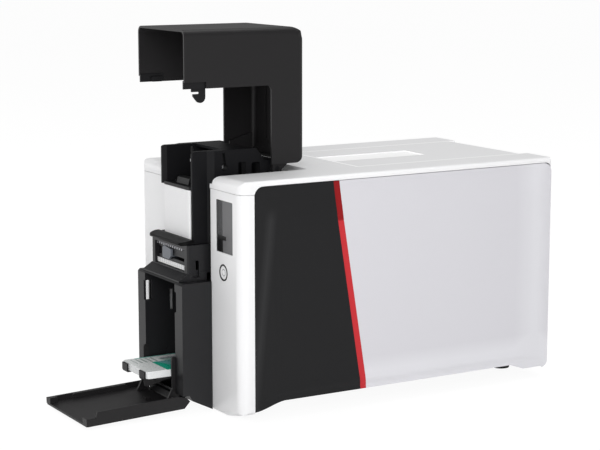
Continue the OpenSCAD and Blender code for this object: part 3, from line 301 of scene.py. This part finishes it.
def dark_panel():
    """Black panel with a soft painted highlight where its face turns in near the front."""
    black, painted_highlight_tone = (36, 36, 37), (52, 52, 53)
    line_foot, line_lean, line_half = FRONT + 12.5 * MM, 0.1, 6.5 * MM
    line_top, line_full = 197 * MM, 185 * MM
    finish = Finish("dark_panel", black, gloss=0.1)
    _, y, z = finish.place()
    middle = z * line_lean + line_foot
    # Painted highlight: a soft lighter band runs down the panel near its front.
    highlight_line = (y - middle).size().ramp(line_half, 0.0) * z.ramp(line_top, line_full)
    finish.paint(highlight_line * 0.8, black, painted_highlight_tone)
    finish.grain(scale=1100, depth=0.04 * MM, low=0.45, high=0.6)
    return finish


def stripe_red():
    """Coloured band, with painted shade on its steeper upper piece."""
    red, shaded_red = (200, 50, 56), (146, 24, 28)
    upper_start, upper_full = 178.5 * MM, 180.5 * MM
    finish = Finish("stripe_red", red, gloss=0.15)
    _, _, z = finish.place()
    # Painted shade: the steeper upper piece is painted a darker red.
    finish.paint(z.ramp(upper_start, upper_full), red, shaded_red)
    finish.grain(scale=900, depth=0.02 * MM, low=0.3, high=0.42)
    return finish


# ---- Dark mouldings ----

def cover_black():
    finish = Finish("cover_black", (32, 31, 32), gloss=0.22)
    finish.grain(scale=1500, depth=0.04 * MM, low=0.38, high=0.5)
    return finish


def inner_black():
    finish = Finish("inner_black", (20, 20, 22), gloss=0.22)
    finish.grain(scale=1500, depth=0.03 * MM, low=0.4, high=0.58)
    return finish


def feeder_black():
    """Black of the feeder frame, deeper on its smooth lip at the foot of the stack."""
    black, lip_black = (22, 22, 24), (5, 5, 6)
    lip_back, lip_foot, lip_top = FRONT - 11.8 * MM, 156.0 * MM, 161.4 * MM
    finish = Finish("feeder_black", black, gloss=0.1)
    _, y, z = finish.place()
    finish.paint((y < lip_back) * z.between(lip_foot, lip_top), black, lip_black)
    finish.grain(scale=1500, depth=0.03 * MM, low=0.4, high=0.58)
    return finish


def hopper_grey():
    finish = Finish("hopper_grey", (27, 27, 29), gloss=0.3)
    finish.grain(scale=1500, depth=0.03 * MM, low=0.35, high=0.5)
    return finish


def pin_black():
    finish = Finish("pin_black", (26, 26, 28), metallic=0.4, gloss=0.2)
    finish.grain(scale=1800, depth=0.02 * MM, low=0.4, high=0.52)
    return finish


def motor_black():
    finish = Finish("motor_black", (58, 58, 62), metallic=0.6)
    finish.grain(scale=800, depth=0.02 * MM, low=0.35, high=0.5)
    return finish


def rubber(name, colour):
    finish = Finish(name, colour)
    finish.grain(scale=2200, depth=0.05 * MM, low=0.7, high=0.9)
    return finish


# ---- Small fittings ----

def lever_grey():
    finish = Finish("lever_grey", (104, 108, 115))
    finish.grain(scale=1500, depth=0.03 * MM, low=0.4, high=0.5)
    return finish


def scale_white():
    """White strip with evenly spaced fine marks."""
    strip, ink = (238, 238, 238), (120, 120, 122)
    mark_pitch, mark_share = 4.0 * MM, 0.1
    row_pitch, row_gap = 2.1 * MM, 0.2
    finish = Finish("scale_white", strip, roughness=0.5)
    x, _, z = finish.place()
    mark = ((x / mark_pitch).part() < mark_share) * ((z / row_pitch).part() > row_gap)
    finish.paint(mark, strip, ink)
    return finish


def smoke_window():
    """Smoked window, lighter where the light falls on the column wall behind it.

    The bent tab of the lock slot shows through its lower left corner.
    """
    shaded, sunlit, tab_black = (60, 61, 63), (118, 118, 120), (14, 14, 15)
    light_start, light_full = 66.3 * MM, 67.1 * MM
    finish = Finish("smoke_window", shaded, gloss=0.3)
    x, _, z = finish.place()
    cloud = finish.noise(14)
    upright = x.between(57.5 * MM, 67.3 * MM) * (z < 165.5 * MM)
    arm = x.between(57.8 * MM, 73.3 * MM) * z.between(165 * MM, 169 * MM)
    tab = (upright + arm).limit()
    glass = finish.mix(x.ramp(light_start, light_full), shaded, sunlit)
    finish.paint(tab, glass, tab_black)
    finish.set("Alpha", ((cloud * 0.04 + 0.74) + tab * 0.24).limit())
    finish.roughen(cloud, low=0.2, high=0.26)
    return finish


# ---- Drive, ribbon and board ----

LINES_ALONG_X = (1.0, 60.0, 60.0)
LINES_ALONG_Y = (60.0, 1.0, 60.0)


def brushed(name, colour, stretch=LINES_ALONG_X):
    """Metal with fine lines that run along one axis."""
    finish = Finish(name, colour, metallic=1.0)
    stretched = finish.add("ShaderNodeMapping", {}, {"Vector": finish.point(), "Scale": stretch})
    lines = finish.add("ShaderNodeTexNoise", {},
                       {"Vector": stretched, "Scale": 60.0, "Detail": 3.0})
    finish.roughen(lines, low=0.24, high=0.46)
    finish.bump(lines, 0.02 * MM)
    return finish


def gear_plastic():
    finish = Finish("gear_plastic", (226, 220, 204))
    finish.grain(scale=1200, depth=0.02 * MM, low=0.4, high=0.52)
    return finish


def cassette_blue():
    finish = Finish("cassette_blue", (62, 92, 160))
    finish.grain(scale=1200, depth=0.03 * MM, low=0.35, high=0.48)
    return finish


def wound_film():
    """Wound ribbon with its coloured panels as soft bands, between plain spool ends."""
    violet, black, spool_end = (46, 34, 70), (20, 18, 30), (34, 34, 38)
    film_half = 30.1 * MM
    finish = Finish("wound_film", violet, roughness=0.25)
    x, _, _ = finish.place()
    film = finish.mix(finish.noise(40), violet, black)
    finish.paint(x.size() > film_half, film, spool_end)
    return finish


def board_green():
    """Circuit board with tracks, and dark blocks standing on it."""
    green, track, block = (24, 84, 52), (60, 130, 84), (30, 30, 32)
    board_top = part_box("main_board")[0][2] + 2.0 * MM
    finish = Finish("board_green", green, roughness=0.4)
    x, y, z = finish.place()
    tracks = ((x / (3.1 * MM)).part() < 0.25) * ((y / (17 * MM)).part() > 0.3)
    finish.paint(z > board_top, finish.mix(tracks * 0.6, green, track), block)
    return finish


# ---- Cards ----

CARD_THICK = 0.76 * MM
JOINT_SHARE = 0.14


def card_joint(z, foot):
    """1 in the fine gap between a card and the next one, from the foot of the stack up."""
    return ((z - foot) / CARD_THICK).part() < JOINT_SHARE


def card_blank():
    """Stack of white cards: a fine dark joint between one card and the next."""
    card, shade = (246, 246, 247), (168, 168, 172)
    finish = Finish("card_blank", card, roughness=0.28, coat=0.3)
    _, _, z = finish.place()
    low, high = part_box("blank_cards")
    joint = card_joint(z, low[2]) * (z < high[2] - 0.4 * MM)
    finish.paint(joint * 0.35, card, shade)
    finish.bump(1.0 - joint, 0.06 * MM)
    return finish


def card_printed():
    """Generic card face: white ground, grey bars of filler and three teal facets."""
    ground, edge, edge_shade = (236, 240, 239), (240, 242, 242), (130, 134, 138)
    bar_pitch, bar_share, facet_lean = 5.2 * MM, 0.42, 0.42
    finish = Finish("card_printed", ground, coat=0.3, gloss=0.4)
    x, y, z = finish.place()
    low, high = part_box("printed_cards")
    across, along = x - low[0], y - low[1]
    slant = along - across * facet_lean
    bars = ((along / bar_pitch).part() < bar_share) * across.between(4 * MM, 20 * MM) \
        * along.between(6 * MM, 31 * MM)
    title = across.between(9.5 * MM, 15.5 * MM) * along.between(34 * MM, 60 * MM)
    pale_facet = (along > 20.5 * MM) * (across > 21 * MM)
    bright_facet = pale_facet * (slant < 15.5 * MM)
    deep_facet = (slant > 26 * MM) * (across > 12 * MM)
    edge_band = (across < 2.6 * MM) * (along > 12 * MM)
    face = ground
    for amount, colour in [(bars * 0.75, (136, 152, 148)), (title, (168, 158, 168)),
                           (pale_facet, (112, 172, 172)), (bright_facet, (34, 176, 146)),
                           (deep_facet * finish.noise(60), (40, 138, 120)),
                           (edge_band, (120, 190, 176))]:
        face = finish.mix(amount, face, colour)
    side = finish.mix(card_joint(z, low[2]) * 0.3, edge, edge_shade)
    finish.paint(z > high[2] - 0.2 * MM, side, face)
    finish.roughen(finish.noise(500), low=0.24, high=0.32)
    return finish


# ---- Which piece has which finish ----

FINISHES = {
    glossy_white("white_moulding"): ["front_cover", "hood_button", "rear_cover"],
    hood_white(): ["top_shell", "hood_cover"],
    power_white(): ["power_button"],
    light_panel(): ["right_panel_light", "left_panel_light"],
    dark_panel(): ["right_panel_dark", "left_panel_dark"],
    stripe_red(): ["right_stripe", "left_stripe"],
    cover_black(): ["feeder_cover", "output_door", "card_tray"],
    inner_black(): ["base_pan", "centre_frame", "card_weight", "cover_catch", "window_tab",
                    "card_guide", "card_flipper", "fan_frame", "fan_rotor"],
    feeder_black(): ["feeder_frame"],
    hopper_grey(): ["hopper_frame", "mid_unit", "button_ring"],
    lever_grey(): ["gauge_lever"],
    scale_white(): ["gauge_scale"],
    brushed("tooth_metal", (190, 190, 194)): ["feed_comb"],
    smoke_window(): ["window_lens"],
    rubber("foot_rubber", (28, 28, 28)): ["feet"],
    pin_black(): ["cover_pins", "door_pins"],
    brushed("frame_steel", (170, 172, 176), LINES_ALONG_Y): ["left_side_frame",
                                                             "right_side_frame"],
    rubber("roller_rubber", (46, 46, 50)): ["pick_roller", "feed_roller", "transport_roller",
                                            "platen_roller", "pinch_roller"],
    rubber("cleaning_rubber", (118, 172, 214)): ["cleaning_roller"],
    gear_plastic(): ["pick_gear", "feed_gear", "transport_gear", "platen_gear", "front_idler",
                     "middle_idler", "rear_idler"],
    brushed("pinion_brass", (196, 164, 92)): ["motor_pinion"],
    motor_black(): ["drive_motor"],
    cassette_blue(): ["ribbon_cassette"],
    wound_film(): ["supply_spool", "takeup_spool"],
    brushed("head_metal", (160, 162, 166)): ["print_head"],
    board_green(): ["main_board"],
    brushed("port_metal", (140, 140, 144)): ["rear_ports"],
    card_blank(): ["blank_cards"],
    card_printed(): ["printed_cards"],
}
for finish, names in FINISHES.items():
    for name in names:
        NODES[name].data.materials.clear()
        NODES[name].data.materials.append(finish.material)


# ---- Pieces shaped in the scene ----

SAME_POINT = 0.01 * MM
SHARP = math.radians(30)


def reshaped(name, cuts, shift):
    """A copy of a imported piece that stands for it, cut at some lengths and with its points moved."""
    source = NODES[name]
    mesh = source.data.copy()
    mesh.transform(source.matrix_world)
    work = bmesh.new()
    work.from_mesh(mesh)
    bmesh.ops.remove_doubles(work, verts=work.verts, dist=SAME_POINT)
    for axis, value in cuts:
        normal = [float(axis == letter) for letter in "XYZ"]
        bmesh.ops.bisect_plane(work, geom=[*work.verts, *work.edges, *work.faces],
                               plane_co=[value * part for part in normal], plane_no=normal)
    for vert in work.verts:
        vert.co = shift(*vert.co)
    for edge in work.edges:
        edge.smooth = edge.calc_face_angle(0.0) < SHARP
    work.to_mesh(mesh)
    work.free()
    made = bpy.data.objects.new(name + "_shaped", mesh)
    bpy.context.collection.objects.link(made)
    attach(made, body_of(source)[0])
    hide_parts(name)
    return made


# The door's angle to the floor at rest, the Y and Z of its hinge, the X that its left lip lies
# beyond, and the new top of that lip, measured square to the door from the hinge.
DOOR_TILT = math.radians(-2.0)
DOOR_HINGE = (FRONT - 28.8 * MM, 23.1 * MM)
LEFT_LIP_SIDE = -41.2 * MM
LEFT_LIP_TOP = -10.1 * MM


def lower_left_lip(x, y, z):
    """The door's left lip is lower than its right one, along the whole door."""
    if x > LEFT_LIP_SIDE:
        return x, y, z
    turn, rise = math.cos(DOOR_TILT), math.sin(DOOR_TILT)
    along, up = y - DOOR_HINGE[0], z - DOOR_HINGE[1]
    along, up = along * turn - up * rise, along * rise + up * turn
    up = min(up, LEFT_LIP_TOP)
    return x, along * turn + up * rise + DOOR_HINGE[0], up * turn - along * rise + DOOR_HINGE[1]


# The curve at the lower front of the dark panels: how far behind the column's front it starts and
# ends, its lowest and highest point, and how far above that a point still counts as on the edge.
FLARE_START, FLARE_END = 14 * MM, 48 * MM
FLARE_LOW, FLARE_HIGH = 9.5 * MM, 16.8 * MM
EDGE_SLACK = 0.4 * MM
CUT_PITCH = 4 * MM
FLARE_CUTS = [("Y", FRONT + FLARE_START + CUT_PITCH * step) for step in range(1, 9)]


def ease_flare(x, y, z):
    """The lower edge of the panel runs down to the column in one soft curve."""
    share = (y - FRONT - FLARE_START) / (FLARE_END - FLARE_START)
    if z > FLARE_HIGH + EDGE_SLACK or share > 1:
        return x, y, z
    share = max(share, 0.0)
    return x, y, FLARE_LOW + (FLARE_HIGH - FLARE_LOW) * share * share * (3 - 2 * share)


# The chin at the foot of each column: the X where its rise to the outer corner starts and ends,
# how far it rises, the heights that move with it, how deep its round is, and the share of that
# depth that is left beside the feeder.
CHIN_START, CHIN_END = 68 * MM, 96 * MM
CHIN_LIFT = 5.6 * MM
CHIN_FOOT, CHIN_TOP = 1.2 * MM, 13.2 * MM
CHIN_DEPTH = 9.05 * MM
INNER_SHARE = 0.4
CHIN_CUTS = [("X", side * (CHIN_START + CUT_PITCH * (step + 0.5)))
             for side in (-1, 1) for step in range(7)]


def round_chin(x, y, z):
    """The foot of the column is tighter beside the feeder and swings up to its outer corner."""
    along = (abs(x) - CHIN_START) / (CHIN_END - CHIN_START)
    along = min(max(along, 0.0), 1.0)
    if z < CHIN_DEPTH and y - FRONT < CHIN_DEPTH:
        y = FRONT + (y - FRONT) * (INNER_SHARE + (1 - INNER_SHARE) * along)
    share = 1.0 - (z - CHIN_FOOT) / (CHIN_TOP - CHIN_FOOT)
    return x, y, z + CHIN_LIFT * along ** 1.5 * min(max(share, 0.0), 1.0)


# The cover's upper rear corner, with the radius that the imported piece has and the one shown.
_, cover_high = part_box("feeder_cover")
CORNER_OLD, CORNER_NEW = 9 * MM, 13 * MM
CORNER_INSETS = [CORNER_NEW, CORNER_NEW - 2.5 * MM, CORNER_NEW - 5.0 * MM]
CORNER_CUTS = [(axis, cover_high["XYZ".index(axis)] - inset)
               for axis in "YZ" for inset in CORNER_INSETS]


def round_cover(x, y, z):
    """Wider round on the cover's upper rear corner.

    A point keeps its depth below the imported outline, now measured from the wider one.
    """
    middle = (cover_high[1] - CORNER_NEW, cover_high[2] - CORNER_NEW)
    across, rise = y - middle[0], z - middle[1]
    if across <= 0 or rise <= 0:
        return x, y, z
    inner = CORNER_NEW - CORNER_OLD
    if across > inner and rise > inner:
        depth = CORNER_OLD - math.hypot(across - inner, rise - inner)
    else:
        depth = CORNER_NEW - max(across, rise)
    scale = (CORNER_NEW - depth) / math.hypot(across, rise)
    return x, middle[0] + across * scale, middle[1] + rise * scale


# The lower edge of the catch strips, where they carry no hook.
STRIP_FOOT = cover_high[2] - 52.9 * MM


def no_left_tab(x, y, z):
    """Only the right catch strip carries a hook."""
    return x, y, max(z, STRIP_FOOT) if x < 0 else z


# Name of the piece: its slot, the cuts made in it and the way its points move.
SHAPED = {
    "output_door": ("cover_black", [], lower_left_lip),
    "right_panel_dark": ("dark_panel", FLARE_CUTS, ease_flare),
    "left_panel_dark": ("dark_panel", FLARE_CUTS, ease_flare),
    "front_cover": ("white_case", CHIN_CUTS, round_chin),
    "feeder_cover": ("cover_black", CORNER_CUTS, round_cover),
    "cover_catch": ("inner_black", [], no_left_tab),
}
shown = dict(NODES)
for name, (slot, cuts, shift) in SHAPED.items():
    shown[name] = reshaped(name, cuts, shift)


# A bent plate under the tray closes the gap between hopper and door. Its section is in mm, as Y
# from the column front and Z.
APRON_SECTION = [(-20.5, 13.6), (-25.0, 12.6), (-28.6, 8.8), (-29.4, 7.4), (-28.4, 7.0),
                 (-27.4, 8.6), (-24.2, 11.6), (-20.5, 12.6)]
APRON_HALF = 31.5


def plate(name, section, half_width, finish_of):
    """A bent plate: a section in (Y from the column front, Z), in mm, run across the machine."""
    count = len(section)
    points = [(side * half_width * MM, FRONT + y * MM, z * MM)
              for side in (-1, 1) for y, z in section]
    faces = [list(range(count))[::-1], list(range(count, 2 * count))]
    faces += [[i, (i + 1) % count, (i + 1) % count + count, i + count] for i in range(count)]
    mesh = bpy.data.meshes.new(name)
    mesh.from_pydata(points, [], faces)
    mesh.materials.append(NODES[finish_of].data.materials[0])
    made = bpy.data.objects.new(name, mesh)
    bpy.context.collection.objects.link(made)
    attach(made, body_of(NODES[finish_of])[0])


plate("tray_apron", APRON_SECTION, APRON_HALF, "centre_frame")


# ---- Edges of the moulded pieces ----

# Width of the small round on each moulded piece, in mm. At 0 its faces are only joined.
SOFT_EDGES = {"front_cover": 0.5, "top_shell": 0.5, "hood_cover": 0.4, "feeder_cover": 0.5,
              "output_door": 0.35, "hopper_frame": 0.4, "feeder_frame": 0.35, "mid_unit": 0.3,
              "card_tray": 0.3, "card_weight": 0.3, "hood_button": 0.3, "cover_catch": 0.2,
              "power_button": 0.3, "gauge_lever": 0.2, "right_panel_light": 0.0,
              "left_panel_light": 0.0}
ROUNDED_FROM = math.radians(40)


def soften(piece, width):
    """Joins the faces of a piece along their edges and rounds its sharp edges a little."""
    weld = piece.modifiers.new("join_faces", "WELD")
    weld.merge_threshold = SAME_POINT
    if width > 0:
        bevel = piece.modifiers.new("small_round", "BEVEL")
        bevel.width = width * MM
        bevel.segments = 2
        bevel.limit_method = "ANGLE"
        bevel.angle_limit = ROUNDED_FROM


for name, width in SOFT_EDGES.items():
    soften(shown[name], width)


# ---- Studio ----

GROUND_SIZE = 60.0
GROUND_DROP = 0.2 * MM
GROUND_TONE = (0.8, 0.8, 0.8, 1.0)
GROUND_GLOW, GLOW_SHARE = 1.09, 0.86
SKY_LIGHT, SKY_SEEN = 0.36, 1.0
PURE_WHITE = (1.0, 1.0, 1.0, 1.0)


def plain_floor():
    """White ground that keeps a soft shadow and looks white to the camera."""
    finish = Finish("plain_floor", BRIGHT, roughness=0.9)
    finish.set("Base Color", GROUND_TONE)
    glow = finish.add("ShaderNodeEmission", {}, {"Color": PURE_WHITE, "Strength": GROUND_GLOW})
    seen = finish.ray("Is Camera Ray").larger(finish.ray("Is Glossy Ray"))
    lit = Value(finish, finish.shader.outputs[0])
    both = finish.add("ShaderNodeMixShader", {}, {0: seen * GLOW_SHARE, 1: lit, 2: glow})
    finish.feed(finish.tree.nodes["Material Output"].inputs["Surface"], both)
    return finish.material


def floor():
    bpy.ops.mesh.primitive_plane_add(size=GROUND_SIZE, location=(0.0, 0.0, -GROUND_DROP))
    ground = bpy.context.object
    ground.name = "ground"
    ground.data.materials.append(plain_floor())


def world():
    """Soft white sky that lights the printer and looks white to the camera."""
    made = bpy.data.worlds.new("studio")
    bpy.context.scene.world = made
    made.use_nodes = True
    nodes = Nodes(made.node_tree)
    lit, white = [nodes.add("ShaderNodeBackground", {}, {"Color": PURE_WHITE, "Strength": strength})
                  for strength in (SKY_LIGHT, SKY_SEEN)]
    seen = nodes.ray("Is Camera Ray").larger(nodes.ray("Is Transmission Ray"))
    both = nodes.add("ShaderNodeMixShader", {}, {0: seen, 1: lit, 2: white})
    nodes.feed(nodes.tree.nodes["World Output"].inputs["Surface"], both)


def lamp(name, place, target, size, power):
    data = bpy.data.lights.new(name, "AREA")
    data.shape = "RECTANGLE"
    data.size, data.size_y = size
    data.energy = power
    made = bpy.data.objects.new(name, data)
    bpy.context.collection.objects.link(made)
    made.location = place
    aim = Vector(target) - Vector(place)
    made.rotation_euler = aim.to_track_quat("-Z", "Y").to_euler()


# The camera's place is measured from the middle of the column front, on the floor. It looks down
# by CAMERA_DROP and its lens is given in mm.
CAMERA_FROM_FRONT = (1.4281, -0.7268, 0.4386)
CAMERA_TURN = 59.28
CAMERA_DROP = 9.56
CAMERA_LENS = 103.58
FILM_WIDTH = 36.0


def camera():
    data = bpy.data.cameras.new("photo_view")
    data.lens = CAMERA_LENS
    data.sensor_width = FILM_WIDTH
    data.clip_end = 100.0
    made = bpy.data.objects.new("photo_view", data)
    bpy.context.collection.objects.link(made)
    x, y, z = CAMERA_FROM_FRONT
    made.location = (x, y + FRONT, z)
    made.rotation_euler = (math.radians(90 - CAMERA_DROP), 0.0, math.radians(CAMERA_TURN))
    bpy.context.scene.camera = made


floor()
world()
lamp("key_panel", place=(1.7, -1.0, 0.8), target=(0.0, -0.05, 0.14), size=(1.3, 1.3), power=25.5)
lamp("left_window", place=(-2.2, -1.6, 0.6), target=(0.0, -0.1, 0.14), size=(1.8, 1.4), power=11.0)
lamp("sky_panel", place=(-0.2, 0.3, 2.2), target=(0.0, 0.0, 0.1), size=(1.6, 1.6), power=21.0)
camera()
bpy.context.scene.view_settings.view_transform = "Standard"
